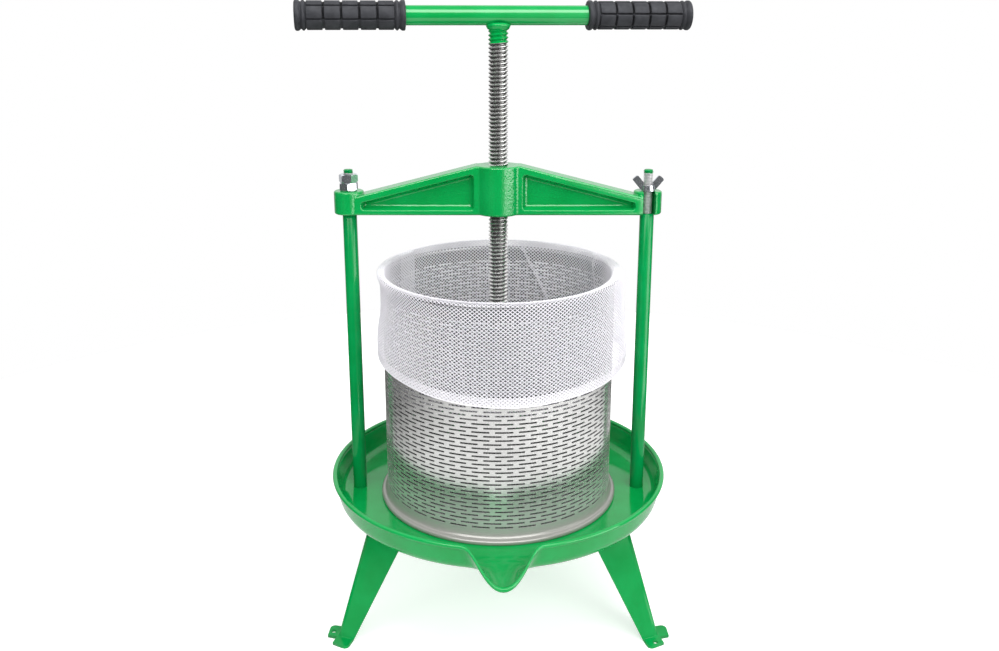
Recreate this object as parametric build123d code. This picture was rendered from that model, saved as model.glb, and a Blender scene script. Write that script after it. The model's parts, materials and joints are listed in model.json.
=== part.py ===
from build123d import *
import math
import os

# A bench fruit press in millimetres, +Z up. The origin is on the screw's axis at floor level.
# The tray's spout points along -Y, and the posts stand at -X and +X of the basket.

# Fits
running_gap = 0.05      # radial room of a shaft or stud in its hole
rest_gap = 0.05         # between a loose piece and what it stands on
cloth_gap = 0.3         # between the bag and the basket
stud_hole_gap = 0.25    # radial room of a post's stud in the tray and in the beam

# Basket
basket_d = 240.0
basket_height = 243.8
basket_sheet = 1.2
foot_flare = 6.9        # how far the curled foot stands out from the wall
foot_curl_d = 5.2
foot_sweep = 4.0        # radius of the sweep from the wall to the foot
rim_curl_d = 4.4
slot_rows = 18
slots_per_row = 22
slot_length = 24.0
slot_height = 2.4
slot_foot_band = 17.0   # plain wall below the lowest row
slot_rim_band = 14.0    # plain wall above the highest row

# Filter bag
bag_sheet = 0.8
bag_fold_rise = 4.0     # how far the fold's underside stands above the basket's rim
cuff_drop = 104.0       # how far the turned-down top hangs outside the basket
cuff_flare = 7.0        # how far the cuff's hem stands out from its fold

# Posts and their fixings
post_stand_off = 32.5   # from the basket's wall to a post's axis
post_d = 14.5
stud_d = 10.0
stud_chamfer = 1.0
nut_width = 17.0
nut_height = 8.4
nut_bevel = 1.4
washer_d = 20.0
washer_sheet = 2.0
stud_end = 3.0          # thread that shows beyond a nut under the tray
stud_rise = 21.5        # stud above the beam's ends
pivot_nut_turn = 20.0   # how far a flat of the nut is turned from the front, degrees
lock_nut_turn = -20.0

# Tray
tray_sheet = 2.5
tray_depth = 29.4       # from the floor to the top of the lip
tray_corner = 14.0      # outer radius between floor and wall
tray_floor_margin = 0.4 # flat floor beyond a post's foot
tray_wall_lean = 12.0   # degrees from upright
tray_lip_d = 5.0
tray_lip_inset = 0.5    # how far the lip stands in from the wall's inner face
spout_turn = 1.3        # how far round from -Y the spout points, degrees
spout_reach = 30.0      # from the lip's outer edge to the spout's tip
spout_tip_drop = 23.5   # how far the spout's tip lies below the lip
spout_tip_r = 12.5      # half the spout's width at the height of its tip
spout_draft = 40.0      # lean of the spout's sides from upright, degrees

# Legs
leg_height = 123.5
leg_sheet = 3.0
leg_splay = 40.5        # how much further out the fold is at the floor than at the top
leg_inset = 6.2         # from the edge of the tray's flat floor to the fold at the top
leg_wing_top = 45.0
leg_wing_foot = 18.0
leg_fold_r = 4.5
foot_tab = 10.0         # how far a foot tab stands out from its wing beside the fold
foot_tab_end = 14.0     # and how far at the wing's free edge
foot_tab_r = 5.0
foot_hole_d = 5.5       # one of a leg's two tabs has a hole
foot_hole_out = 6.8     # from the wing to the hole
foot_hole_back = 8.2    # from the fold to the hole
rear_leg_angle = 90.0   # degrees round the tray from +X, with the others evenly after it
leg_names = ("leg_rear", "leg_front_left", "leg_front_right")

# Crossbeam
beam_clearance = 58.0   # from the bag's fold up to the beam
beam_end_d = 30.4
fork_end_d = 28.6
beam_end_height = 23.7
beam_boss_d = 46.0
beam_boss_height = 49.8
arm_width = 26.0
arm_end_drop = 5.4      # how far the arm's top lies below the end boss where they meet
arm_top_flange = 7.2
arm_bottom_flange = 5.1
pocket_end_wall = 13.5  # from a post's axis to the narrow end of the pocket
pocket_side_wall = 1.5  # from the centre boss to the tall end of the pocket
pocket_depth = 9.0
pocket_draft = 17.0     # lean of the pocket's sides, degrees
pocket_corner = 5.0
pocket_edge = 1.2       # rounding of the pocket's mouth
cast_fillet = 4.0       # where an arm runs into a boss
cast_edge = 2.0         # rounding of the casting's outer edges
fork_slot = 12.0

# Wing nut
wing_body_d = 15.0
wing_neck_d = 12.6
wing_body_height = 5.5
wing_length = 14.2
wing_width = 7.0
wing_sheet = 3.6
wing_lean = 40.0        # lean of a wing from upright, degrees
wing_corner = 2.0
wing_root = 4.5         # where a wing's middle line starts, out from the stud's axis

# Screw and handle
screw_d = 20.0
pilot_d = 15.0
pilot_groove_d = 11.0
handle_rise = 146.5     # from the beam's top to the bar's axis
handle_turn = 8.4       # how the bar stands at rest, degrees
bar_d = 19.0
bar_wall = 2.0
weld_height = 3.6
weld_leg = 2.4
grip_length = 104.0
grip_start = 90.2       # from the screw's axis to a grip's inner end
grip_d = 29.0
grip_core_d = 24.5
grip_groove = 2.0
grip_band = 4.0
grip_pads = 5
grip_rows = 6
left_grip_turn = 10.0   # how far round the bar a grip's rows are turned, degrees
right_grip_turn = 22.0
grip_end_wall = 3.0

# Press plate
plate_depth = 94.8      # from the basket's rim down to the plate's top, at rest
plate_side_gap = 3.7    # between the plate's edge and the bag
plate_sheet = 5.0
hub_d = 40.0
hub_height = 34.0
shoulder_gap = 1.0      # between the hub's top and the screw's shoulder
set_screw_d = 6.0
set_screw_height = 15.0
set_screw_gap = 0.3

# Radii and heights that follow from these
basket_r = basket_d / 2
basket_bore_r = basket_r - basket_sheet
post_x = basket_r + post_stand_off
post_r = post_d / 2
stud_r = stud_d / 2
screw_r = screw_d / 2
bar_r = bar_d / 2
grip_r = grip_d / 2
floor_z = leg_height + tray_sheet
floor_flat_r = post_x + post_r + tray_floor_margin
lip_r = tray_lip_d / 2
lip_z = floor_z + tray_depth
basket_z = floor_z + rest_gap
basket_top = basket_z + basket_height
bag_r = basket_bore_r - cloth_gap
bag_top = basket_top + bag_fold_rise + bag_sheet
beam_z = bag_top + beam_clearance
beam_end_top = beam_z + beam_end_height
beam_top = beam_z + beam_boss_height
stud_top = beam_end_top + stud_rise
bar_z = beam_top + handle_rise
weld_z = bar_z - bar_r - weld_height
plate_r = bag_r - bag_sheet - plate_side_gap
plate_top = basket_top - plate_depth
hub_top = plate_top + hub_height
wall_slope = math.tan(math.radians(tray_wall_lean))
tray_foot_r = floor_flat_r + tray_corner * math.tan(math.pi / 4 - math.radians(tray_wall_lean) / 2)
lip_center_z = lip_z - lip_r
wall_sheet = tray_sheet / math.cos(math.radians(tray_wall_lean))
lip_wall_r = tray_foot_r + (lip_center_z - leg_height) * wall_slope - wall_sheet
lip_center_r = lip_wall_r - tray_lip_inset + lip_r
spout_tip_y = -(lip_center_r + lip_r + spout_reach)
spout_tip_z = lip_z - spout_tip_drop


def upright(radius, bottom, top, x=0.0, y=0.0):
    # A round bar that stands between two heights.
    bar = Cylinder(radius, top - bottom, align=(Align.CENTER, Align.CENTER, Align.MIN))
    return Pos(x, y, bottom) * bar


def turned(*points):
    # A solid of revolution about the Z axis, from (radius, height) points.
    return revolve(Plane.XZ * Polygon(*points, align=None), Axis.Z)


def tray_outline(inset, top):
    # Half of the dish's section, filled in, with its floor and wall set in by an amount.
    bottom = leg_height + inset
    lean = math.radians(tray_wall_lean)
    foot = tray_foot_r - inset * (1 / math.cos(lean) - wall_slope)
    edge = foot + (top - bottom) * wall_slope
    outline = Polygon((0, bottom), (foot, bottom), (edge, top), (0, top), align=None)
    turn = outline.vertices().sort_by(Axis.Y)[:2].sort_by(Axis.X)[-1]
    return fillet(turn, tray_corner - inset)


def spout_form(inset, bottom, top):
    # The scoop that the spout is pressed to: a cone at the tip that runs on as a tapered channel.
    spread = math.tan(math.radians(spout_draft))
    set_in = inset / math.cos(math.radians(spout_draft))
    low = spout_tip_r - set_in + (bottom - spout_tip_z) * spread
    high = spout_tip_r - set_in + (top - spout_tip_z) * spread
    nose_y = spout_tip_y + spout_tip_r
    nose = Cone(low, high, top - bottom, align=(Align.CENTER, Align.CENTER, Align.MIN))
    section = Polygon((-low, bottom), (low, bottom), (high, top), (-high, top), align=None)
    channel = extrude(Plane.XZ.offset(-nose_y) * section, nose_y + floor_flat_r - tray_corner)
    return Pos(0, nose_y, bottom) * nose + channel


def make_tray():
    lip = Pos(lip_center_r, lip_center_z) * Circle(lip_r)
    section = tray_outline(0.0, lip_center_z) + lip - tray_outline(tray_sheet, lip_z)
    dish = revolve(Plane.XZ * section, Axis.Z)
    rim_y = -(lip_center_r + lip_r)
    fall = (lip_center_z - spout_tip_z) / spout_reach
    beyond_y = spout_tip_y - spout_reach
    above_lip = Polygon(
        (rim_y, lip_center_z), (beyond_y, lip_center_z + (beyond_y - rim_y) * fall),
        (beyond_y, lip_z), (rim_y, lip_z), align=None)
    scoop = spout_form(0.0, leg_height, lip_center_z)
    scoop -= extrude(Plane.YZ * above_lip, lip_center_r, both=True)
    scoop -= revolve(Plane.XZ * tray_outline(tray_sheet / 2, lip_z + lip_r), Axis.Z)
    aside = Rot(0, 0, spout_turn)
    tray = dish + aside * scoop - aside * spout_form(tray_sheet, floor_z, lip_z + lip_r)
    for x in (-post_x, post_x):
        tray -= upright(stud_r + stud_hole_gap, leg_height, floor_z, x)
    return tray


def leg_section(radius, wing, height):
    # The V of a folded leg at one height, with its fold outwards along +X.
    back = wing * math.sqrt(0.5)
    thick = leg_sheet * math.sqrt(0.5)
    end = radius - back
    section = Polygon(
        (end, -back), (radius, 0), (end, back), (end - thick, back - thick), (radius - 2 * thick, 0),
        (end - thick, thick - back), align=None)
    fold = section.vertices().sort_by(Axis.X)[-1]
    section = fillet(fold, leg_fold_r)
    return Pos(0, 0, height) * section


def make_leg(turn):
    top_r = floor_flat_r - leg_inset
    foot_r = top_r + leg_splay
    foot = leg_section(foot_r, leg_wing_foot, 0)
    leg = loft([foot, leg_section(top_r, leg_wing_top, leg_height)], ruled=True)
    for side in (1, -1):
        near = ((0, -leg_sheet), (0, foot_tab))
        far = ((-leg_wing_foot, foot_tab_end), (-leg_wing_foot, -leg_sheet))
        tab = Polygon(*near, *far, align=None)
        tab = fillet(tab.vertices().sort_by(Axis.Y)[-1], foot_tab_r)
        if side < 0:
            tab -= Pos(-foot_hole_back, foot_hole_out) * Circle(foot_hole_d / 2)
        plate = extrude(tab, leg_sheet)
        if side < 0:
            plate = mirror(plate, Plane.XZ)
        leg += Pos(foot_r, 0, 0) * Rot(0, 0, -45 * side) * plate
    return Rot(0, 0, turn) * leg


def make_post(x):
    foot = leg_height - washer_sheet - nut_height - stud_end
    post = upright(post_r, floor_z, beam_z, x)
    stud = upright(stud_r, foot, stud_top, x)
    tips = stud.faces().sort_by(Axis.Z)
    stud = chamfer(tips[0].edges() + tips[-1].edges(), stud_chamfer)
    return post + stud


def make_hex_nut(bottom, x, turn=0.0):
    corner_r = nut_width / math.sqrt(3)
    bevel_r = nut_width / 2
    prism = extrude(RegularPolygon(nut_width / 2, 6, major_radius=False), nut_height)
    rounded = turned(
        (0, 0), (bevel_r, 0), (corner_r, nut_bevel), (corner_r, nut_height - nut_bevel),
        (bevel_r, nut_height), (0, nut_height))
    bored = (prism & rounded) - upright(stud_r + running_gap, 0, nut_height)
    return Pos(x, 0, bottom) * Rot(0, 0, turn) * bored


def make_washer(bottom, x):
    top = bottom + washer_sheet
    return upright(washer_d / 2, bottom, top, x) - upright(stud_r + stud_hole_gap, bottom, top, x)


def pocket_outline():
    # The recess in one arm's side, between the flanges, in the arm's own plane.
    near = beam_boss_d / 2 + pocket_side_wall
    far = post_x - pocket_end_wall
    low = beam_z + arm_bottom_flange
    near_top = arm_top(near) - arm_top_flange
    far_top = arm_top(far) - arm_top_flange
    outline = Polygon((near, low), (far, low), (far, far_top), (near, near_top), align=None)
    return fillet(outline.vertices(), min(pocket_corner, pocket_end_wall / 4))


def arm_top(x):
    # The height of the arm's sloping top at a distance from the screw.
    near = beam_boss_d / 2
    far = post_x - fork_slot / 2
    low = beam_end_top - arm_end_drop
    return beam_top - (beam_top - low) * (x - near) / (far - near)


def arms_and_boss():
    # The casting without its end bosses: its plan stood up, then cut to its elevation.
    near = beam_boss_d / 2
    plan = Rectangle(2 * post_x, arm_width) + Circle(near)
    plan = fillet([corner for corner in plan.vertices() if abs(corner.X) < near], cast_fillet)
    elevation = Polygon(
        (-post_x, beam_z), (post_x, beam_z), (post_x, arm_top(post_x)), (near, beam_top), (-near, beam_top),
        (-post_x, arm_top(post_x)), align=None)
    beam = extrude(Pos(0, 0, beam_z) * plan, beam_boss_height)
    beam &= extrude(Plane.XZ * elevation, beam_boss_d, both=True)
    across = beam.edges().filter_by(Axis.Y)
    level = [face for face in beam.faces() if abs(face.normal_at().Z) > 0.5]
    return fillet([edge for face in level for edge in face.edges() if edge not in across], cast_edge)


def pocket_mouths(beam):
    # The edges of the four pockets in the arms' side faces.
    upright_faces = [face for face in beam.faces() if abs(face.normal_at().Y) > 0.99]
    return [edge for face in upright_faces for wire in face.inner_wires() for edge in wire.edges()]


def make_crossbeam():
    beam = arms_and_boss()
    pocket = extrude(Plane.XZ.offset(arm_width / 2) * pocket_outline(), -pocket_depth, taper=pocket_draft)
    for recess in (pocket, mirror(pocket, Plane.XZ)):
        beam -= recess
        beam -= mirror(recess, Plane.YZ)
    beam = fillet(pocket_mouths(beam), pocket_edge)
    for x, end_d in ((-post_x, beam_end_d), (post_x, fork_end_d)):
        end = upright(end_d / 2, beam_z, beam_end_top, x)
        beam += fillet(end.edges().filter_by(GeomType.CIRCLE), cast_edge)
    beam -= upright(screw_r + running_gap, beam_z, beam_top)
    beam -= upright(stud_r + stud_hole_gap, beam_z, beam_end_top, -post_x)
    slot = Pos(0, -fork_end_d / 2) * Rectangle(fork_slot, fork_end_d) + Circle(fork_slot / 2)
    beam -= extrude(Pos(post_x, 0, beam_z) * slot, beam_end_height)
    return beam


def make_wing_nut():
    body = turned((0, 0), (wing_body_d / 2, 0), (wing_neck_d / 2, wing_body_height), (0, wing_body_height))
    ear = Rectangle(wing_width, wing_length, align=(Align.CENTER, Align.MIN))
    ear = fillet(ear.vertices().sort_by(Axis.Y)[2:], wing_corner)
    ear = Pos(wing_root, wing_body_height / 2) * Rot(0, 0, -wing_lean) * ear
    wing = extrude(Plane.XZ * ear, wing_sheet / 2, both=True)
    nut = body + wing + mirror(wing, Plane.YZ)
    nut -= upright(stud_r + running_gap, 0, stud_rise)
    return Pos(post_x, 0, beam_end_top + rest_gap) * nut


def along_bar(piece):
    # Lays a piece built upright round the Z axis along the handle's bar, outwards to the right.
    return Pos(0, 0, bar_z) * Rot(0, 0, handle_turn) * Rot(0, 90, 0) * piece


def bar_solid():
    half = grip_start + grip_length - grip_end_wall
    return along_bar(upright(bar_r, -half, half))


def make_handle_bar():
    half = grip_start + grip_length - grip_end_wall
    return bar_solid() - along_bar(upright(bar_r - bar_wall, -half, half))


def make_press_screw():
    shoulder = hub_top + shoulder_gap
    groove_z = plate_top + set_screw_height
    groove_half = set_screw_d / 2 + set_screw_gap
    screw = upright(screw_r, shoulder, bar_z)
    screw += upright(pilot_d / 2, plate_top + rest_gap, shoulder)
    groove = upright(pilot_d / 2, groove_z - groove_half, groove_z + groove_half)
    groove -= upright(pilot_groove_d / 2, groove_z - groove_half, groove_z + groove_half)
    return screw - groove - bar_solid()


def make_handle_weld():
    top = bar_z - bar_r / 2
    wide = screw_r + weld_leg
    bead = turned((screw_r, weld_z), (wide, weld_z + weld_height), (wide, top), (screw_r, top))
    return bead - bar_solid()


def make_grip(turn, row_turn):
    # A moulded sleeve: end bands, then pads cut into blocks by rings and lengthwise grooves.
    pads_length = grip_length - 4 * grip_band - (grip_pads + 3) * grip_groove
    pad = pads_length / grip_pads
    grip = upright(grip_core_d / 2, 0, grip_length)
    band_starts = (0, grip_band + grip_groove)
    for start in band_starts:
        grip += upright(grip_r, start, start + grip_band)
        grip += upright(grip_r, grip_length - start - grip_band, grip_length - start)
    first = 2 * (grip_band + grip_groove)
    step = pad + grip_groove
    for index in range(grip_pads):
        grip += upright(grip_r, first + index * step, first + index * step + pad)
    depth = (grip_d - grip_core_d) / 2
    groove = Pos(grip_r - depth / 2, 0, first) * Box(
        depth, grip_groove, grip_length - 2 * first, align=(Align.CENTER, Align.CENTER, Align.MIN))
    for row in range(grip_rows):
        grip -= Rot(0, 0, row_turn + row * 360 / grip_rows) * groove
    grip -= upright(bar_r, 0, grip_length - grip_end_wall)
    return Pos(0, 0, bar_z) * Rot(0, 0, handle_turn + turn) * Rot(0, 90, 0) * Pos(0, 0, grip_start) * grip


def make_press_plate():
    return upright(plate_r, plate_top - plate_sheet, plate_top)


def set_screw_hole(room):
    # Both screws, or their holes with some room round them, across the hub.
    inner = pilot_groove_d / 2 + set_screw_gap
    length = hub_d / 2 - inner
    screw = Rot(0, 90, 0) * upright(set_screw_d / 2 + room, inner, inner + length)
    screw = Pos(0, 0, plate_top + set_screw_height) * screw
    return [screw, mirror(screw, Plane.YZ)]


def make_plate_hub():
    hub = upright(hub_d / 2, plate_top, hub_top) - upright(pilot_d / 2 + running_gap, plate_top, hub_top)
    for hole in set_screw_hole(running_gap):
        hub -= hole
    return hub


def make_basket():
    # A rolled sheet with its foot swept out into a curl, and a smaller curl round its rim.
    curl_r = foot_curl_d / 2
    foot_r = basket_r + foot_flare - curl_r
    foot_top = basket_z + foot_curl_d
    rim_r = rim_curl_d / 2
    wall = Polygon(
        (basket_bore_r, basket_z), (foot_r, basket_z), (foot_r, foot_top), (basket_r, foot_top),
        (basket_r, basket_top - rim_r), (basket_bore_r, basket_top - rim_r), align=None)
    inner_corner = wall.vertices().sort_by_distance((basket_r, foot_top))[0]
    wall = fillet(inner_corner, min(foot_sweep, 0.9 * (foot_r - basket_r)))
    wall += Pos(foot_r, basket_z + curl_r) * Circle(curl_r)
    wall += Pos(basket_bore_r + rim_r, basket_top - rim_r) * Circle(rim_r)
    return revolve(Plane.XZ * wall, Axis.Z).cut(*basket_slots())


def basket_slots():
    # Rows of slots laid like bricks, each row half a step on from the one below.
    low = basket_z + slot_foot_band + slot_height / 2
    high = basket_top - slot_rim_band - slot_height / 2
    step = 360 / slots_per_row
    cutter = Pos(basket_r, 0, 0) * Box(6 * basket_sheet, slot_length, slot_height)
    slots = []
    for row in range(slot_rows):
        z = low + (high - low) * row / (slot_rows - 1)
        for index in range(slots_per_row):
            slots.append(Pos(0, 0, z) * Rot(0, 0, (index + row % 2 / 2) * step) * cutter)
    return slots


def make_filter_bag():
    # The net as one thin wall: a liner with a closed bottom, folded over the rim into a cuff.
    bottom = floor_z + cloth_gap
    fold = basket_top + bag_fold_rise
    cuff_r = basket_bore_r + rim_curl_d + cloth_gap
    hem_r = cuff_r + cuff_flare
    hem_z = bag_top - cuff_drop
    inner_r = bag_r - bag_sheet
    return turned(
        (0, bottom), (bag_r, bottom), (bag_r, fold), (cuff_r, fold), (hem_r, hem_z),
        (hem_r + bag_sheet, hem_z), (cuff_r + bag_sheet, bag_top), (inner_r, bag_top),
        (inner_r, bottom + bag_sheet), (0, bottom + bag_sheet))


def base_fixings(make, bottom):
    return Compound(children=[make(bottom, -post_x), make(bottom, post_x)])


def make_pieces():
    pieces = {
        "tray": make_tray(),
        "left_post": make_post(-post_x),
        "right_post": make_post(post_x),
        "post_base_washers": base_fixings(make_washer, leg_height - washer_sheet),
        "post_base_nuts": base_fixings(make_hex_nut, leg_height - washer_sheet - nut_height),
        "crossbeam": make_crossbeam(),
        "pivot_nut": make_hex_nut(beam_end_top, -post_x, pivot_nut_turn),
        "pivot_lock_nut": make_hex_nut(beam_end_top + nut_height, -post_x, lock_nut_turn),
        "wing_nut": make_wing_nut(),
        "press_screw": make_press_screw(),
        "handle_bar": make_handle_bar(),
        "handle_weld": make_handle_weld(),
        "right_grip": make_grip(0, right_grip_turn),
        "left_grip": make_grip(180, left_grip_turn),
        "press_plate": make_press_plate(),
        "plate_hub": make_plate_hub(),
        "hub_set_screws": Compound(children=set_screw_hole(0)),
        "basket": make_basket(),
        "filter_bag": make_filter_bag(),
    }
    for index, name in enumerate(leg_names):
        pieces[name] = make_leg(rear_leg_angle + index * 360 / len(leg_names))
    return pieces


os.makedirs("parts", exist_ok=True)
for name, piece in make_pieces().items():
    export_step(piece, f"parts/{name}.step")
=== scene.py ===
import bpy
import bmesh
import json
import math
from mathutils import Matrix, Vector, noise

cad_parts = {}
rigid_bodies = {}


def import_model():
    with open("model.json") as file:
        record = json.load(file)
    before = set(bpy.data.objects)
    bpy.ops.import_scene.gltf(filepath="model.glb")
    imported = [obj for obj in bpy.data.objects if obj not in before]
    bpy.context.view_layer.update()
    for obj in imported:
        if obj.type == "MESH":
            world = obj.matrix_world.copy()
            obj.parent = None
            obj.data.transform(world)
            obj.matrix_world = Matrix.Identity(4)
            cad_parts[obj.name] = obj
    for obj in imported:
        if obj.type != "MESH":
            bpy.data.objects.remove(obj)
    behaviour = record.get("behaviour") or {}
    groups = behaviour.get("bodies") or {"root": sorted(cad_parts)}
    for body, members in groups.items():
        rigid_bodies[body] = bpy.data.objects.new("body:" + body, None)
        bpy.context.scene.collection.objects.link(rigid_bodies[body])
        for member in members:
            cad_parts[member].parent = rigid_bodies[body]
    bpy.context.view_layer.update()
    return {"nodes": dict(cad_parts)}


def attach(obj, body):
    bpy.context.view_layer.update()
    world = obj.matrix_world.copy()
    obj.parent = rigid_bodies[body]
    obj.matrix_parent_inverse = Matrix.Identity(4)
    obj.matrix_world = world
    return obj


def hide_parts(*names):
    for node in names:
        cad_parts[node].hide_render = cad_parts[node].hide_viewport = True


for startObject in list(bpy.data.objects):  # the new file's own cube, lamp and camera
    bpy.data.objects.remove(startObject)
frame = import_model()
nodes = frame["nodes"]
mm = 0.001
scene = bpy.context.scene
print("frame loaded:", len(nodes), "nodes")


# materials

def startMaterial(name, **sockets):
    material = bpy.data.materials.new(name)
    material.use_nodes = True
    shader = material.node_tree.nodes["Principled BSDF"]
    for socket, value in sockets.items():
        shader.inputs[socket.replace("_", " ")].default_value = value
    return material, material.node_tree, shader


def addNode(tree, kind, settings=None, **sockets):
    node = tree.nodes.new(kind)
    for name, value in (settings or {}).items():
        setattr(node, name, value)
    for socket, value in sockets.items():
        node.inputs[socket.replace("_", " ")].default_value = value
    return node


def objectPlace(tree, stretch=(1, 1, 1)):
    place = addNode(tree, "ShaderNodeTexCoord")
    mapping = addNode(tree, "ShaderNodeMapping", Scale=stretch)
    tree.links.new(place.outputs["Object"], mapping.inputs["Vector"])
    return mapping.outputs["Vector"]


def heightOf(tree):
    height = addNode(tree, "ShaderNodeSeparateXYZ")
    tree.links.new(objectPlace(tree), height.inputs[0])
    return height.outputs["Z"]


def noiseAt(tree, place, scale, detail=3.0, rough=0.5):
    speckle = addNode(tree, "ShaderNodeTexNoise", Scale=scale, Detail=detail, Roughness=rough)
    tree.links.new(place, speckle.inputs["Vector"])
    return speckle.outputs["Fac"]


def ranged(tree, value, low, high, fromLow=0.3, fromHigh=0.7):
    ranger = addNode(
        tree, "ShaderNodeMapRange", From_Min=fromLow, From_Max=fromHigh, To_Min=low, To_Max=high)
    tree.links.new(value, ranger.inputs["Value"])
    return ranger.outputs["Result"]


def feed(tree, socket, value):
    # gives a socket another node's output, or a value of its own
    if isinstance(value, bpy.types.NodeSocket):
        tree.links.new(value, socket)
    else:
        socket.default_value = value


def operate(tree, kind, operation, *values):
    node = addNode(tree, kind, {"operation": operation})
    for socket, value in zip(node.inputs, values):
        feed(tree, socket, value)
    return node


def mixColours(tree, factor, first, second):
    # a mix node takes its factor at socket 0 and its colours at 6 and 7, and gives a colour at 2
    mix = addNode(tree, "ShaderNodeMix", {"data_type": "RGBA"})
    for socket, colour in ((6, first), (7, second)):
        feed(tree, mix.inputs[socket], (*colour, 1) if isinstance(colour, tuple) else colour)
    tree.links.new(factor, mix.inputs[0])
    return mix.outputs[2]


def cloudsOf(tree, place, first, second, scale):
    # two colours in soft clouds
    return mixColours(tree, ranged(tree, noiseAt(tree, place, scale), 0, 1), first, second)


def roughFrom(tree, shader, value, rough):
    tree.links.new(ranged(tree, value, *rough), shader.inputs["Roughness"])


def bumpFrom(tree, shader, height, strength, distance):
    bump = addNode(tree, "ShaderNodeBump", Strength=strength, Distance=distance)
    tree.links.new(height, bump.inputs["Height"])
    tree.links.new(bump.outputs["Normal"], shader.inputs["Normal"])


def makeCoat(name, look):
    # paint or rubber, with an uneven gloss and a fine peel
    material, tree, shader = startMaterial(name, Specular_IOR_Level=look["gloss"])
    place = objectPlace(tree)
    tone = cloudsOf(tree, place, look["deep"], look["light"], look["cloudScale"])
    tree.links.new(tone, shader.inputs["Base Color"])
    roughFrom(tree, shader, noiseAt(tree, place, look["smearScale"]), look["rough"])
    peel = noiseAt(tree, place, look["peelScale"], look["peelDetail"])
    bumpFrom(tree, shader, peel, look["peel"], look["peelDepth"])
    return material


def makeSteel(name, look):
    # metal with a fine grain, drawn out across the axis that has the largest number in "stretch"
    material, tree, shader = startMaterial(name, Metallic=look["metal"])
    grain = noiseAt(tree, objectPlace(tree, look["stretch"]), look["grainScale"], detail=4, rough=0.6)
    tone = cloudsOf(tree, objectPlace(tree), look["dark"], look["light"], look["cloudScale"])
    if "netShade" in look:  # painted shade where the net keeps the light off
        covered = addNode(tree, "ShaderNodeAttribute", {"attribute_name": "painted_net_shade"})
        tone = mixColours(tree, covered.outputs["Fac"], tone, look["netShade"])
    if "reflectionGrey" in look:  # painted reflection: greyer and less of a mirror towards its foot, so the tray's green shows paler in it
        reflectionGrey = look["reflectionGrey"]
        reach = (reflectionGrey["low"] * mm, reflectionGrey["high"] * mm)
        tone = mixColours(tree, ranged(tree, heightOf(tree), 1, 0, *reach), tone, reflectionGrey["tone"])
        metal = ranged(tree, heightOf(tree), reflectionGrey["metal"], look["metal"], *reach)
        tree.links.new(metal, shader.inputs["Metallic"])
    if "foot" in look:  # painted shade: darker at the curled edge that it stands on
        foot = look["foot"]
        near = ranged(tree, heightOf(tree), 1, 0, foot["low"] * mm, foot["high"] * mm)
        tone = mixColours(tree, near, tone, foot["tone"])
    tree.links.new(tone, shader.inputs["Base Color"])
    roughFrom(tree, shader, grain, look["rough"])
    bumpFrom(tree, shader, grain, look["bump"], distance=0.0001)
    return material


def makeThreadSteel(name, look):
    # steel with painted shade in the bottom of its thread: darker by the distance from the thread's axis
    material, tree, shader = startMaterial(name, Metallic=look["metal"])
    place = addNode(tree, "ShaderNodeTexCoord")
    centred = addNode(tree, "ShaderNodeMapping", {"vector_type": "TEXTURE"}, Location=look["axisAt"])
    tree.links.new(place.outputs["Object"], centred.inputs["Vector"])
    flat = operate(tree, "ShaderNodeVectorMath", "MULTIPLY", centred.outputs["Vector"], (1, 1, 0))
    radius = operate(tree, "ShaderNodeVectorMath", "LENGTH", flat.outputs["Vector"])
    rise = ranged(tree, radius.outputs["Value"], 0, 1, look["root"] * mm, look["crest"] * mm)
    tree.links.new(mixColours(tree, rise, look["dark"], look["light"]), shader.inputs["Base Color"])
    speckle = noiseAt(tree, objectPlace(tree), scale=420, detail=4)
    roughFrom(tree, shader, speckle, look["rough"])
    bumpFrom(tree, shader, speckle, strength=0.15, distance=0.0001)
    return material


def makeNet(name, look):
    # nylon that lets some light through from behind, with painted shade where a thread turns into its hole
    material, tree, shader = startMaterial(name, Sheen_Weight=look["sheen"], Sheen_Roughness=0.4)
    through = addNode(tree, "ShaderNodeBsdfTranslucent")
    mix = addNode(tree, "ShaderNodeMixShader", Fac=look["through"])
    tree.links.new(shader.outputs[0], mix.inputs[1])
    tree.links.new(through.outputs[0], mix.inputs[2])
    tree.links.new(mix.outputs[0], tree.nodes["Material Output"].inputs["Surface"])
    place = objectPlace(tree)
    tone = cloudsOf(tree, place, look["shade"], look["light"], scale=55)
    # painted shade: the thread's colour goes darker where it turns into its hole
    edge = addNode(tree, "ShaderNodeAttribute", {"attribute_name": "hole_edge"})
    turned = ranged(tree, edge.outputs["Fac"], 0, 1, fromLow=0.15, fromHigh=1)
    tone = mixColours(tree, turned, tone, look["hole"])
    tree.links.new(tone, shader.inputs["Base Color"])
    tree.links.new(tone, through.inputs["Color"])
    roughFrom(tree, shader, noiseAt(tree, place, scale=900), look["rough"])
    bumpFrom(tree, shader, noiseAt(tree, place, scale=3200, detail=2), look["bump"], distance=0.0002)
    return material


green = {"deep": (0.001, 0.325, 0.062), "light": (0.003, 0.375, 0.082)}
# painted shade: a darker copy of the same green for the posts, which catch less light
rodGreenShaded = {"deep": (0.001, 0.25, 0.055), "light": (0.002, 0.3, 0.075)}
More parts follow.
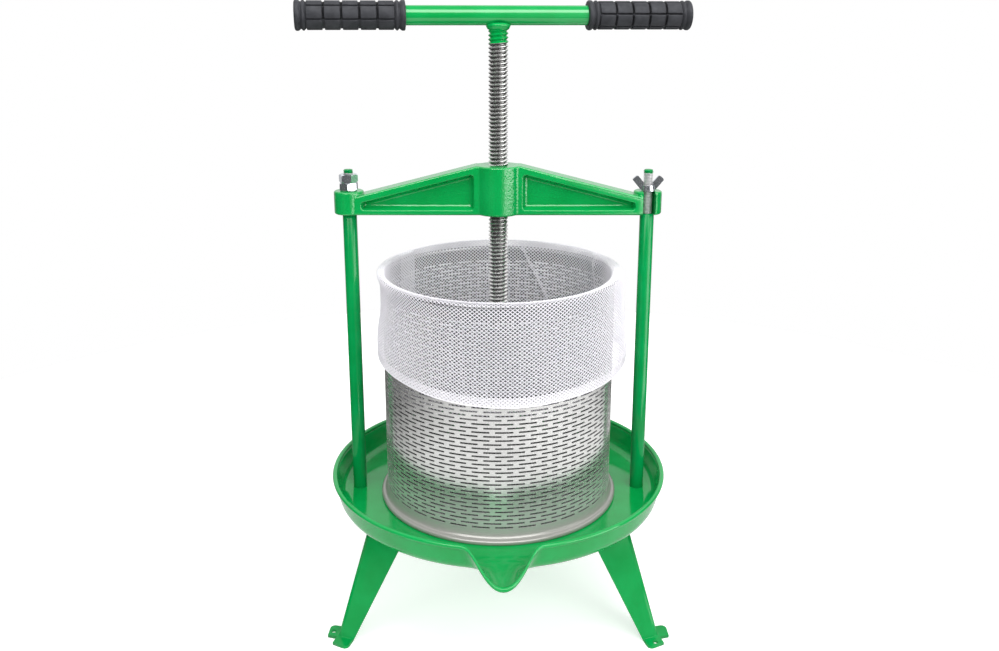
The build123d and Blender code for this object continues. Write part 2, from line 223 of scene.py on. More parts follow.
# painted shade: a darker copy of the same green for the legs
legGreenShaded = {"deep": (0.001, 0.285, 0.055), "light": (0.003, 0.34, 0.075)}
enamel = {"cloudScale": 35, "smearScale": 60, "peelDetail": 2, "peelDepth": 0.0004}
smoothCoat = {**enamel, "rough": (0.07, 0.13), "peelScale": 420, "peel": 0.04}
castCoat = {**enamel, "rough": (0.06, 0.12), "peelScale": 520, "peel": 0.6}
sheetEnamel = makeCoat("sheet_enamel", {**green, **smoothCoat, "gloss": 0.5})
castEnamel = makeCoat("cast_enamel", {**green, **castCoat, "gloss": 0.85})
rodEnamelShaded = makeCoat("rod_enamel_shaded", {**rodGreenShaded, **smoothCoat, "gloss": 0.3})
barEnamel = makeCoat("bar_enamel", {**green, **smoothCoat, "gloss": 0.9, "rough": (0.08, 0.14)})
legEnamelShaded = makeCoat("leg_enamel_shaded", {**legGreenShaded, **smoothCoat, "gloss": 0.22, "rough": (0.1, 0.16)})
brightZinc = makeSteel("bright_zinc", {
    "dark": (0.62, 0.65, 0.7), "light": (0.78, 0.81, 0.86), "rough": (0.1, 0.2), "stretch": (1, 1, 1),
    "grainScale": 260, "cloudScale": 150, "bump": 0.04, "metal": 0.88})
plateSteel = makeSteel("brushed_plate", {
    "dark": (0.5, 0.5, 0.5), "light": (0.62, 0.62, 0.62), "rough": (0.26, 0.4), "stretch": (1, 22, 1),
    "grainScale": 90, "cloudScale": 30, "bump": 0.2, "metal": 1.0})
basketSteel = makeSteel("basket_stainless", {
    "dark": (0.77, 0.765, 0.755), "light": (0.86, 0.855, 0.84), "rough": (0.18, 0.26),
    "stretch": (1, 1, 14), "grainScale": 160, "cloudScale": 24, "bump": 0.03, "metal": 0.8,
    # painted reflection: greyer and less of a mirror towards the foot
    "reflectionGrey": {"low": 140.0, "high": 178.0, "metal": 0.22, "tone": (0.54, 0.51, 0.52)},
    # painted shade: darker at the foot
    "foot": {"low": 132.0, "high": 146.0, "tone": (0.37, 0.36, 0.34)},
    # painted shade on the steel under the net's cuff
    "netShade": (0.24, 0.24, 0.25)})
screwSteel = makeThreadSteel("screw_steel", {
    "axisAt": (0, 0, 0), "root": 8.3, "crest": 9.8, "dark": (0.27, 0.265, 0.26), "light": (0.9, 0.89, 0.88),
    "rough": (0.2, 0.3), "metal": 0.9})
gripRubber = makeCoat("grip_rubber", {
    "deep": (0.024, 0.025, 0.029), "light": (0.039, 0.04, 0.046), "gloss": 0.35, "rough": (0.5, 0.68),
    "cloudScale": 120, "smearScale": 500, "peelScale": 2600, "peelDetail": 3, "peel": 0.25,
    "peelDepth": 0.0002})
netThread = makeNet("net_thread", {
    "shade": (0.91, 0.89, 0.945), "light": (0.96, 0.94, 0.985), "hole": (0.77, 0.755, 0.8),
    "rough": (0.42, 0.6), "bump": 0.2, "sheen": 0.25, "through": 0.05})
shadedNet = makeNet("net_painted_shade", {  # painted shade: the net below the plate, white in itself, is coloured dark because hardly any light reaches it
    "shade": (0.3, 0.3, 0.31), "light": (0.36, 0.36, 0.37), "hole": (0.2, 0.2, 0.21),
    "rough": (0.42, 0.6), "bump": 0.2, "sheen": 0.1, "through": 0.05})
print("materials made")


# mesh helpers, which take millimetres

closeEnough = 0.02  # places no further apart than this count as level
cornerTurn = 0.5  # radians; an edge that turns less than this is no corner


def angleOf(place):
    return math.atan2(place.y, place.x)


def placeAt(angle, radius, height):
    return radius * mm * math.cos(angle), radius * mm * math.sin(angle), height * mm


def ofKind(items, kind):
    return [item for item in items if isinstance(item, kind)]


def line(bm, points):
    # a chain of vertices through (radius, height) points, in the XZ plane
    verts = [bm.verts.new((radius * mm, 0, height * mm)) for radius, height in points]
    edges = [bm.edges.new(pair) for pair in zip(verts, verts[1:])]
    return verts + edges


def arc(centre, radius, start, end, steps):
    angles = [math.radians(start + (end - start) * step / steps) for step in range(steps + 1)]
    return [(centre[0] + radius * math.cos(angle), centre[1] + radius * math.sin(angle)) for angle in angles]


def carryRound(bm, section, angle, steps, **options):
    # sweeps a section about the Z axis, and gives back its last place
    return bmesh.ops.spin(
        bm, geom=section, cent=(0, 0, 0), axis=(0, 0, 1), angle=angle, steps=steps, **options)["geom_last"]


def turn(bm, points, steps):
    before = set(bm.verts)
    carryRound(bm, line(bm, points), 2 * math.pi, steps, use_merge=True)
    bmesh.ops.remove_doubles(bm, verts=[vert for vert in bm.verts if vert not in before], dist=1e-6)


def pourInto(bm, other):
    # adds a finished bmesh to another
    mesh = bpy.data.meshes.new("poured")
    other.to_mesh(mesh)
    other.free()
    bm.from_mesh(mesh)
    bpy.data.meshes.remove(mesh)


def thread(bm, shape):
    # one pitch of the thread's section, wound up the Z axis and cut off level at both ends
    pitch, crest, root = shape["pitch"], shape["crest"], shape["root"]
    low, high, steps = shape["low"], shape["high"], shape["steps"]
    start = low - pitch
    flat = 0.5 * pitch * (1 - shape["flank"])
    section = [
        (root, start), (root, start + flat / 2),
        (crest, start + (pitch - flat) / 2), (crest, start + (pitch + flat) / 2),
        (root, start + pitch - flat / 2), (root, start + pitch)]
    carryRound(bm, line(bm, section), 2 * math.pi, steps, dvec=(0, 0, pitch * mm / steps))
    oneTurn = bm.verts[:] + bm.edges[:] + bm.faces[:]
    for index in range(1, math.ceil((high - low) / pitch) + 2):
        copied = bmesh.ops.duplicate(bm, geom=oneTurn)["geom"]
        verts = ofKind(copied, bmesh.types.BMVert)
        bmesh.ops.translate(bm, verts=verts, vec=(0, 0, index * pitch * mm))
    bmesh.ops.remove_doubles(bm, verts=bm.verts, dist=2e-6)
    for height, away in ((low, -1), (high, 1)):
        cut = bmesh.ops.bisect_plane(
            bm, geom=bm.verts[:] + bm.edges[:] + bm.faces[:], dist=1e-7, plane_co=(0, 0, height * mm),
            plane_no=(0, 0, away), clear_outer=True)
        bmesh.ops.holes_fill(bm, edges=ofKind(cut["geom_cut"], bmesh.types.BMEdge), sides=0)
    for vert in bm.verts:  # the chamfered tips
        past = max(vert.co.z / mm - (high - shape["chamfer"]), low + shape["chamfer"] - vert.co.z / mm, 0)
        radius = vert.co.xy.length
        most = (crest - past) * mm
        if past > 0 and radius > most:
            vert.co.xy *= most / radius


def finishPiece(bm, name, materials, body, slotName, *replaced, sharp=35):
    bmesh.ops.recalc_face_normals(bm, faces=bm.faces)
    mesh = bpy.data.meshes.new(name)
    bm.to_mesh(mesh)
    bm.free()
    for material in materials:
        mesh.materials.append(material)
    mesh.shade_smooth()
    mesh.set_sharp_from_angle(angle=math.radians(sharp))
    piece = bpy.data.objects.new(name, mesh)
    scene.collection.objects.link(piece)
    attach(piece, body)
    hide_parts(*replaced)
    print("piece made:", name, len(mesh.polygons), "faces")
    return piece


def turnFrom(angle, degrees):
    # how far round a place is from another, in degrees, from -180 to 180
    return (math.degrees(angle) - degrees + 180) % 360 - 180


def ease(value):
    # 0 to 1 with soft ends
    value = min(1, max(0, value))
    return value * value * (3 - 2 * value)


# the bar, the plate with its hub, and the small fixings keep their own shapes

keptFinishes = {
    "handle_bar": barEnamel, "post_base_washers": brightZinc, "post_base_nuts": brightZinc,
    "wing_nut": brightZinc, "press_plate": plateSteel, "plate_hub": plateSteel, "hub_set_screws": brightZinc,
}
for nodeName, finish in keptFinishes.items():
    for materialSlot in nodes[nodeName].material_slots:
        materialSlot.material = finish
print("finishes given to", len(keptFinishes), "nodes")


# tray: a pressed dish whose wall and rolled lip run out into the spout

tray = {
    "underside": 123.5, "sheet": 2.5, "floorRings": (80.0, 140.0), "flat": 160.15, "corner": 14.0,
    "lean": 12.0, "wallShare": 0.93, "lipTop": 155.4, "lipRadius": 2.5, "lipOut": 2.0, "lipTurn": -102.0,
    "lipFrom": 40.0, "lipSweep": 280.0, "tipReach": 209.7, "tipTop": 131.9, "tipLipTurn": -73.0,
    "spoutTurn": 1.3, "spoutHalf": 38.0, "spoutShape": 1.05, "frontAngle": 36.0,
    "wallSteps": 12, "lipSteps": 14, "frontSteps": 72, "backSteps": 132,
}


def wallPlace(shape, along, out):
    # a point of the dish's plain wall: along it from the floor to the lip, and out from its inner face
    lean = math.radians(shape["lean"])
    inner = shape["corner"] - shape["sheet"]
    middle = Vector((shape["flat"], shape["underside"] + shape["corner"]))
    outward = Vector((math.cos(lean), -math.sin(lean)))
    upward = Vector((math.sin(lean), math.cos(lean)))
    bend = inner * (math.pi / 2 - lean)
    end = middle + inner * outward
    rise = (shape["lipTop"] - shape["lipRadius"] - end.y) / math.cos(lean)
    travel = along * (bend + rise)
    if travel < bend:
        angle = travel / inner - math.pi / 2
        return middle + (inner + out) * Vector((math.cos(angle), math.sin(angle)))
    return end + (travel - bend) * upward + out * outward


def spoutPlace(shape, along, out):
    # the same point where the wall is laid out flat, in the middle of the spout
    floor = shape["underside"] + shape["sheet"]
    reach = shape["tipReach"] - shape["lipRadius"] - shape["flat"]
    climb = shape["tipTop"] - shape["lipRadius"] + shape["lipOut"] - floor
    slope = climb * 2 * along / reach
    down = Vector((slope, -1)).normalized()
    return Vector((shape["flat"] + reach * along, floor + climb * along ** 2)) + out * down


def trayPlace(shape, place, pull):
    kind, along, out = place
    if kind == "floor":
        return Vector((along, out))
    if kind == "wall":
        return wallPlace(shape, along, out).lerp(spoutPlace(shape, along, out), pull)
    centre = wallPlace(shape, 1, shape["lipOut"]).lerp(spoutPlace(shape, 1, shape["lipOut"]), pull)
    angle = math.radians(along + shape["lipTurn"] + shape["tipLipTurn"] * pull)
    return centre + shape["lipRadius"] * Vector((math.cos(angle), math.sin(angle)))


def traySection(shape):
    # the sheet's section from the middle of its underside, round the lip, to the middle of its floor
    under, floor, sheet = shape["underside"], shape["underside"] + shape["sheet"], shape["sheet"]
    rings = (0, *shape["floorRings"])
    steps = [shape["wallShare"] * step / shape["wallSteps"] for step in range(shape["wallSteps"] + 1)]
    turns = [step / shape["lipSteps"] for step in range(shape["lipSteps"] + 1)]
    return (
        [("floor", radius, under) for radius in rings] + [("wall", step, sheet) for step in steps]
        + [("lip", shape["lipFrom"] + shape["lipSweep"] * turned, 0) for turned in turns]
        + [("wall", step, 0) for step in reversed(steps)]
        + [("floor", radius, floor) for radius in reversed(rings)])


def makeTray(shape):
    bm = bmesh.new()
    places = traySection(shape)
    placeOf = bm.verts.layers.int.new("place")
    section = line(bm, [trayPlace(shape, place, 0) for place in places])
    for index, vert in enumerate(section[:len(places)]):
        vert[placeOf] = index
    front = math.radians(shape["frontAngle"])
    middle = math.radians(shape["spoutTurn"] - 90)
    bmesh.ops.rotate(bm, verts=bm.verts, cent=(0, 0, 0), matrix=Matrix.Rotation(middle - front, 3, "Z"))
    for angle, steps in ((front, shape["frontSteps"]), (math.pi - front, shape["backSteps"])):
        section = carryRound(bm, section, 2 * angle, steps)
    bmesh.ops.remove_doubles(bm, verts=bm.verts, dist=1e-6)
    rim = shape["flat"] + shape["corner"] + shape["lipRadius"]
    for vert in bm.verts:
        angle = angleOf(vert.co)
        across = rim * abs(math.sin(angle - middle)) if math.cos(angle - middle) > 0 else rim
        aside = min(1, across / shape["spoutHalf"]) ** shape["spoutShape"]
        radius, height = trayPlace(shape, places[vert[placeOf]], math.cos(math.pi / 2 * aside) ** 2)
        vert.co = placeAt(angle, radius, height)
    finishPiece(bm, "tray_dish", [sheetEnamel], "stand", "green_paint", "tray", sharp=45)


makeTray(tray)


# slotted basket, with painted shade above the hem of the bag's cuff

basket = {
    "radius": 120.0, "sheet": 0.9, "bottom": 126.05, "top": 369.85, "slotsRound": 33, "slotLength": 17.4,
    "slotHeight": 1.7, "rowStep": 4.2, "rows": 51, "lowestRow": 142.0, "footCurl": 2.0, "footReach": 126.8,
    "footSweep": 8.6, "sweepSteps": 8, "rimCurl": 2.2, "rimInset": 1.2, "curlSteps": 12,
    "dimFrom": 1.0, "dimOver": 6.0,
}


def slottedWall(bm, shape):
    # a grid of wall and slot strips, rolled up, with the slots' cells taken out like bricks
    step = 2 * math.pi / shape["slotsRound"]
    half = shape["slotLength"] / 2 / shape["radius"]
    stops = (-half, half - step / 2, step / 2 - half, half)
    columns = len(stops) * shape["slotsRound"]
    levels = [shape["bottom"] + 2 * shape["footCurl"] + shape["footSweep"]]
    for row in range(shape["rows"]):
        middle = shape["lowestRow"] + row * shape["rowStep"]
        levels += [middle - shape["slotHeight"] / 2, middle + shape["slotHeight"] / 2]
    levels.append(shape["top"] - 2 * shape["rimCurl"])
    bmesh.ops.create_grid(bm, x_segments=columns, y_segments=len(levels) - 1, size=1)
    slots = []
    for face in bm.faces:
        middle = face.calc_center_median()
        column = int((middle.x + 1) / 2 * columns) % len(stops)
        level = int((middle.y + 1) / 2 * (len(levels) - 1))
        bridge = 3 if level % 4 == 1 else 1  # the strip left standing, which changes with each row of slots
        if level % 2 == 1 and column != bridge:
            slots.append(face)
    bmesh.ops.delete(bm, geom=slots, context="FACES")
    for vert in bm.verts:
        column = round((vert.co.x + 1) / 2 * columns)
        level = round((vert.co.y + 1) / 2 * (len(levels) - 1))
        angle = column // len(stops) * step + stops[column % len(stops)]
        vert.co = placeAt(angle, shape["radius"], levels[level])
    bmesh.ops.remove_doubles(bm, verts=bm.verts, dist=1e-6)


def growEdge(bm, height, path):
    # carries the open edge at one height on round the basket, through (radius, height) points
    edges = [
        edge for edge in bm.edges if all(abs(vert.co.z / mm - height) < closeEnough for vert in edge.verts)]
    for radius, level in path:
        grown = bmesh.ops.extrude_edge_only(bm, edges=edges)["geom"]
        edges = ofKind(grown, bmesh.types.BMEdge)
        for vert in ofKind(grown, bmesh.types.BMVert):
            vert.co.xy *= radius * mm / vert.co.xy.length
            vert.co.z = level * mm


def makeBasket(shape):
    bm = bmesh.new()
    slottedWall(bm, shape)
    curl, rim, steps = shape["footCurl"], shape["rimCurl"], shape["curlSteps"]
    wall, bottom, top = shape["radius"], shape["bottom"], shape["top"]
    curlAt = shape["footReach"] - curl
    flare = bottom + 2 * curl + shape["footSweep"]
    quarter = arc((1, 0), 1, 180, 90, shape["sweepSteps"])
    sweep = [(wall + (curlAt - wall) * out, flare - shape["footSweep"] * down) for out, down in quarter]
    growEdge(bm, flare, sweep + arc((curlAt, bottom + curl), curl, 90, -170, steps)[1:])
    growEdge(bm, top - 2 * rim, arc((wall - shape["rimInset"] + rim, top - rim), rim, 215, -120, steps))
    bmesh.ops.recalc_face_normals(bm, faces=bm.faces)
    # painted shade: the outer skin is marked dark above the cuff's hem, where the net keeps the light off
    covered = bm.verts.layers.float.new("painted_net_shade")
    bmesh.ops.solidify(bm, geom=bm.faces[:], thickness=shape["sheet"] * mm)
    for vert in bm.verts:
        hem = cuffPoint(angleOf(vert.co), cuff["length"])[1]
        isOutside = vert.co.xy.length / mm > wall - shape["sheet"] / 3
        above = vert.co.z / mm - hem - shape["dimFrom"]
        vert[covered] = ease(above / shape["dimOver"]) if isOutside else 0
    finishPiece(bm, "slotted_basket", [basketSteel], "strainer", "stainless", "basket")


# net bag: the liner goes up inside the basket, over its rim and down outside as a cuff

bag = {
    "cells": 174, "cellHeight": 3.6, "opening": 0.46, "denseOpening": 0.95, "floorOpening": 0.55,
    "threadDepth": 0.75, "linerRadius": 118.1, "looseness": 0.9, "joinHeight": 255.0, "rolled": 120.0,
    "foldHeight": 373.0, "foldTilt": 2.7, "foldWide": 2.5, "foldSide": 2.3, "foldAside": 0.8,
    "foldTall": 2.2, "foldLength": 9.4, "seamAt": 148.5, "seamWidth": 12.0, "bottom": 127.0,
    "floorRadius": 112.0, "floorTrim": 1.0, "floorDrop": 0.3, "floorSteps": 120, "slack": 2.8,
    "slackRise": 3.0, "slackUneven": 0.25, "slackWave": 300.0, "footTuck": 4.0, "tuckFrom": 0.85,
}
linerLength = bag["foldHeight"] - bag["joinHeight"]
creases = {
    "fadeDown": 12.0, "fadeUp": 20.0, "steepSide": 1.2, "slackSide": 5.0,
    "runs": [{"top": 78.0, "foot": 46.0, "wide": 1.0, "deep": 1.4},
             {"top": 28.0, "foot": 12.0, "wide": 1.0, "deep": 3.0}],
}
cuff = {
    "length": 101.0, "hemBand": 9.5, "leftHem": 17.0, "rightHem": 9.0, "hemWave": 1.6, "waist": 3.4,
    "waistBy": 0.14, "waistEnd": 0.85, "waistOver": 0.5, "leftFlare": 2.4, "flareFrom": 0.3,
    "flareOver": 0.6, "rightFlare": 5.4, "rightOver": 0.9, "frontFlare": 0.6, "foldRipple": 0.4,
    "hemRipple": 1.2, "rippleRise": 4.0, "scallop": 0.5, "scallops": 9, "scallopShift": 1.3,
    "clearRadius": 122.4, "clearAtFold": 1.2, "clearOver": 14.0,
}
waves = {"round": 1.6, "length": 60.0, "seeds": {"liner": 3, "cuff": 11, "hem": 23, "foot": 31}}


def wave(angle, along, name):
    # slow, even waves round and along the cloth, from -1 to 1
    around, seed = waves["round"], waves["seeds"][name]
    return noise.noise((around * math.cos(angle) + seed, around * math.sin(angle), along / waves["length"]))


def makeLattice(bm):
    # square cells become diamonds that stand on their corners
    crossed = [edge for edge in bm.edges if len(edge.link_faces) == 2]
    bmesh.ops.poke(bm, faces=bm.faces)
    bmesh.ops.dissolve_edges(bm, edges=crossed, use_verts=False)


def netTube(bm, length):
    # a tube of net as long as asked, rolled up at one radius before it is shaped
    bm.verts.layers.float.new("hole_edge")
    rows = round(length / bag["cellHeight"])
    bmesh.ops.create_grid(bm, x_segments=bag["cells"], y_segments=rows, size=1)
    for vert in bm.verts:
        vert.co = placeAt(math.pi * vert.co.x, bag["rolled"], (vert.co.y + 1) / 2 * length)
    bmesh.ops.remove_doubles(bm, verts=bm.verts, dist=1e-6)
    makeLattice(bm)


def openHoles(bm, faces, width):
    # each diamond's edge becomes a thread that falls away towards its hole
    bmesh.ops.inset_individual(
        bm, faces=faces, thickness=width * mm, depth=-bag["threadDepth"] * mm, use_even_offset=True)
    edge = bm.verts.layers.float["hole_edge"]
    for face in faces:
        for vert in face.verts:
            vert[edge] = 1
    bmesh.ops.delete(bm, geom=faces, context="FACES_ONLY")


def foldLevel(angle):
    # the fold stands higher behind than in front
    return bag["foldHeight"] + bag["foldTilt"] * math.sin(angle)


def foldWidth(angle):
    # the fold is puffed out at the left and right
    return bag["foldWide"] + bag["foldSide"] * math.cos(angle) ** 2 + bag["foldAside"] * math.cos(angle)


def creaseOff(crease, angle, height):
    # how far round a place on the liner is from a crease, which leans from the fold down to the join
    down = (bag["foldHeight"] - height) / linerLength
    return turnFrom(angle, crease["top"] + (crease["foot"] - crease["top"]) * down)


def linerRadius(angle, height):
    radius = bag["linerRadius"] - bag["looseness"] * (1 + wave(angle, height, "liner")) / 2
    depth = ease((bag["foldHeight"] - height) / creases["fadeDown"])
    depth *= ease((height - bag["joinHeight"]) / creases["fadeUp"])
    for crease in creases["runs"]:
        off = creaseOff(crease, angle, height)
        side = creases["steepSide"] if off > 0 else creases["slackSide"]
        radius -= crease["deep"] * depth * math.exp(-(off / side) ** 2)
    return radius


def cuffPoint(angle, fall):
    # the cuff is drawn in under its fold at the left, stands off at the right, and hangs lowest in front
    drop = fall / cuff["length"]
    left, right = max(0, -math.cos(angle)) ** 2, max(0, math.cos(angle)) ** 2
    flared = ease((drop - cuff["flareFrom"]) / cuff["flareOver"])
    drawnIn = ease(drop / cuff["waistBy"]) * ease((cuff["waistEnd"] - drop) / cuff["waistOver"])
    reach = left * (cuff["leftFlare"] * flared - cuff["waist"] * drawnIn)
    reach += right * cuff["rightFlare"] * ease(drop / cuff["rightOver"])
    reach += (1 - left - right) * cuff["frontFlare"] * drop
    ripple = (cuff["foldRipple"] + cuff["hemRipple"] * drop) * wave(angle, fall, "cuff")
    ripple += cuff["scallop"] * math.sin(cuff["scallops"] * angle + cuff["scallopShift"]) * drop
    radius = bag["linerRadius"] + 2 * foldWidth(angle) + reach + ripple * min(1, cuff["rippleRise"] * drop)
    clear = cuff["clearRadius"] + cuff["clearAtFold"] * max(0, 1 - fall / cuff["clearOver"])
    shorter = 1 - (left * cuff["leftHem"] + right * cuff["rightHem"]) / cuff["length"]
    height = foldLevel(angle) - fall * shorter + cuff["hemWave"] * drop * wave(angle, 0, "hem")
    return max(radius, clear), height


def shapeUpperBag(bm):
    for vert in bm.verts:
        angle = angleOf(vert.co)
        along = vert.co.z / mm
        sunk = abs(vert.co.xy.length / mm - bag["rolled"])  # a hole's edge lies nearer to the steel
        level = foldLevel(angle)
        if along < linerLength:
            height = bag["joinHeight"] + along / linerLength * (level - bag["joinHeight"])
            radius = linerRadius(angle, height) + sunk
        elif along < linerLength + bag["foldLength"]:
            swing = math.pi * (along - linerLength) / bag["foldLength"]
            radius = bag["linerRadius"] + foldWidth(angle) - (foldWidth(angle) - sunk) * math.cos(swing)
            height = level + (bag["foldTall"] - sunk) * math.sin(swing)
        else:
            radius, height = cuffPoint(angle, along - linerLength - bag["foldLength"])
            radius -= sunk
        vert.co = placeAt(angle, radius, height)


def isDense(angle, along, length):
    # the hem, the seam in the liner and the creases are closer than the rest of the net
    if along > length - cuff["hemBand"]:
        return True
    if along > linerLength + bag["foldLength"] / 2:
        return False
    height = bag["joinHeight"] + along
    onCrease = any(abs(creaseOff(crease, angle, height)) < crease["wide"] for crease in creases["runs"])
    return onCrease or abs(turnFrom(angle, bag["seamAt"])) < bag["seamWidth"] / 2


def makeUpperBag():
    bm = bmesh.new()
    length = linerLength + bag["foldLength"] + cuff["length"]
    netTube(bm, length)
    dense, loose = [], []
    for face in bm.faces:
        if len(face.verts) < 4:
            continue
        middle = face.calc_center_median()
        isClose = isDense(angleOf(middle), middle.z / mm, length)
        (dense if isClose else loose).append(face)
    openHoles(bm, loose, bag["opening"])
    openHoles(bm, dense, bag["denseOpening"])
    shapeUpperBag(bm)
    piece = finishPiece(bm, "net_bag", [netThread], "strainer", "net", "filter_bag", sharp=80)


def makeLowerBag():
    bm = bmesh.new()
    length = bag["joinHeight"] - bag["bottom"]
    netTube(bm, length)
    openHoles(bm, [face for face in bm.faces if len(face.verts) == 4], bag["opening"])
    for vert in bm.verts:
        angle = angleOf(vert.co)
        down = 1 - vert.co.z / mm / length
        radius = linerRadius(angle, bag["joinHeight"]) * (1 - down) + bag["linerRadius"] * down
        uneven = bag["slackUneven"] * (wave(angle, bag["slackWave"] * down, "foot") - 1)
        radius -= bag["slack"] * math.sin(min(1, bag["slackRise"] * down) * math.pi / 2) * (1 + uneven)
        radius -= bag["footTuck"] * max(0, (down - bag["tuckFrom"]) / (1 - bag["tuckFrom"])) ** 2
        radius += abs(vert.co.xy.length / mm - bag["rolled"])
        vert.co = placeAt(angle, radius, bag["bottom"] + vert.co.z / mm)
    netFloor(bm)
    piece = finishPiece(bm, "net_bag_foot", [shadedNet], "strainer", "net", "filter_bag", sharp=80)


def netFloor(bm):
    # the bag's round bottom: a flat lattice cut to a circle, with a plain seam round it
    floor = bmesh.new()
    floor.verts.layers.float.new("hole_edge")
    seam = bag["floorRadius"]
    count = round(2 * seam / bag["cellHeight"])
    bmesh.ops.create_grid(floor, x_segments=count, y_segments=count, size=seam * mm)
    makeLattice(floor)
    inside = (seam - bag["floorTrim"]) * mm
    outside = [face for face in floor.faces if max(vert.co.length for vert in face.verts) > inside]
    bmesh.ops.delete(floor, geom=outside, context="FACES")
    openHoles(floor, list(floor.faces), bag["floorOpening"])
    turn(floor, [(seam - 5, 0.2), (seam - 2, 0.5), (seam + 1.5, 0.9)], bag["floorSteps"])
    bmesh.ops.translate(floor, verts=floor.verts, vec=(0, 0, (bag["bottom"] - bag["floorDrop"]) * mm))
    pourInto(bm, floor)


makeBasket(basket)
makeUpperBag()
makeLowerBag()


# press screw with its thread, green where the handle's paint runs on

screw = {
    "pitch": 4.0, "crest": 10.0, "root": 8.3, "flank": 0.8, "low": 310.05, "high": 619.0, "steps": 36,
    "chamfer": 0.0, "paintFrom": 602.3, "paintDrip": 0.9, "dripScale": 90.0, "dripSeed": 5,
    "pilot": 7.5, "pilotEdge": 0.8, "pilotFoot": 275.1, "pilotSteps": 40, "overlap": 0.5,
    "groove": 5.5, "grooveFrom": 286.75, "grooveTo": 293.35,
}


def makeScrew(shape):
    bm = bmesh.new()
    thread(bm, shape)
    for face in bm.faces:
        middle = face.calc_center_median()
        place = (middle.x * shape["dripScale"], middle.y * shape["dripScale"], shape["dripSeed"])
        drip = shape["paintDrip"] * noise.noise(place)
        face.material_index = int(middle.z / mm > shape["paintFrom"] + drip)
    pilot, groove, edge = shape["pilot"], shape["groove"], shape["pilotEdge"]
    foot, low, high = shape["pilotFoot"], shape["grooveFrom"], shape["grooveTo"]
    top = shape["low"] + shape["overlap"]
    turn(bm, [(0, foot), (pilot - edge, foot), (pilot, foot + edge), (pilot, low), (groove, low),
              (groove, high), (pilot, high), (pilot, top), (0, top)], shape["pilotSteps"])
    finishPiece(
        bm, "press_screw_thread", [screwSteel, sheetEnamel], "screw", "screw_steel", "press_screw", sharp=30)


makeScrew(screw)


# posts with a threaded stud at each end

post = {
    "x": 152.5, "radius": 7.25, "foot": 126.0, "top": 432.65, "edge": 0.6, "rodSteps": 48,
    "studFoot": 110.1, "studTop": 477.85, "paintedTip": 3.4, "overlap": 1.0,
    "pitch": 1.5, "crest": 5.0, "root": 4.15, "flank": 0.8, "steps": 28, "chamfer": 0.9,
}


def makePost(side, x, shape):
    studSteel = makeThreadSteel(f"stud_steel_{side}", {
        "axisAt": (x * mm, 0, 0), "root": 4.1, "crest": 5.0, "dark": (0.62, 0.62, 0.62),
        "light": (0.86, 0.86, 0.87), "rough": (0.3, 0.4), "metal": 0.6})
    bm = bmesh.new()
    radius, foot, top, edge = shape["radius"], shape["foot"], shape["top"], shape["edge"]
    overlap, tip = shape["overlap"], shape["studTop"] - shape["paintedTip"]
    for low, high in ((shape["studFoot"], foot + overlap), (top - overlap, shape["studTop"])):
        stud = bmesh.new()
        thread(stud, {**shape, "low": low, "high": high})
        for face in stud.faces:
            face.material_index = int(face.calc_center_median().z / mm < tip)
        pourInto(bm, stud)
    turn(bm, [(0, foot), (radius, foot), (radius, top - edge), (radius - edge, top), (0, top)],
         shape["rodSteps"])
    bmesh.ops.translate(bm, verts=bm.verts, vec=(x * mm, 0, 0))
    finishPiece(
        bm, f"{side}_post_rod", [rodEnamelShaded, studSteel], "stand", "green_paint", f"{side}_post", sharp=50)


makePost("left", -post["x"], post)
makePost("right", post["x"], post)


# crossbeam and legs with rounded inner corners, and the two nuts on the pivot as the last spanner left them

beam = {"pocketFloor": 4.0, "rounding": 2.6, "steps": 4}
leg = {"tabTop": 3.0, "rounding": 1.7, "steps": 3}
nutTurns = {"pivot_nut": 11.0, "pivot_lock_nut": 15.0}


def copyOf(nodeName):
    # the node's own mesh, its seams merged and its flat faces made whole
    bm = bmesh.new()
    bm.from_mesh(nodes[nodeName].data)
    bmesh.ops.transform(bm, matrix=nodes[nodeName].matrix_world, verts=bm.verts)
    bmesh.ops.remove_doubles(bm, verts=bm.verts, dist=1e-6)
    bmesh.ops.dissolve_limit(bm, angle_limit=math.radians(1), verts=bm.verts, edges=bm.edges)
    bm.normal_update()
    return bm


def isOnPocketFloor(place):
    return abs(abs(place.y) - beam["pocketFloor"]) < closeEnough


def isOnTab(place):
    return abs(place.z - leg["tabTop"]) < closeEnough


def makeRounded(nodeName, pieceName, finish, slotName, shape, isInner):
    # the node with its inner corners rounded where both ends of an edge are on the pocket's floor or the tab
    bm = copyOf(nodeName)
    corners = [
        edge for edge in bm.edges
        if not edge.is_convex and edge.calc_face_angle(0) > cornerTurn
        and all(isInner(vert.co / mm) for vert in edge.verts)]
    bmesh.ops.bevel(
        bm, geom=corners, offset=shape["rounding"] * mm, affect="EDGES", segments=shape["steps"],
        profile=0.5, material=-1)
    piece = finishPiece(bm, pieceName, [finish], "stand", slotName, nodeName, sharp=40)
    weighted = piece.modifiers.new("weighted", "WEIGHTED_NORMAL")
    weighted.keep_sharp = True


def makeNut(nodeName, degrees):
    bm = copyOf(nodeName)
    bmesh.ops.rotate(
        bm, verts=bm.verts, cent=(-post["x"] * mm, 0, 0),
        matrix=Matrix.Rotation(math.radians(degrees), 3, "Z"))
    finishPiece(bm, f"{nodeName}_hex", [brightZinc], "stand", "zinc", nodeName, sharp=15)


makeRounded("crossbeam", "cast_beam", castEnamel, "green_cast", beam, isOnPocketFloor)
for legName in ("leg_front_left", "leg_front_right", "leg_rear"):
    makeRounded(legName, f"{legName}_sheet", legEnamelShaded, "green_paint", leg, isOnTab)
for nutName, nutTurn in nutTurns.items():
    makeNut(nutName, nutTurn)


# handle: weld bead under the bar, and the two moulded grips

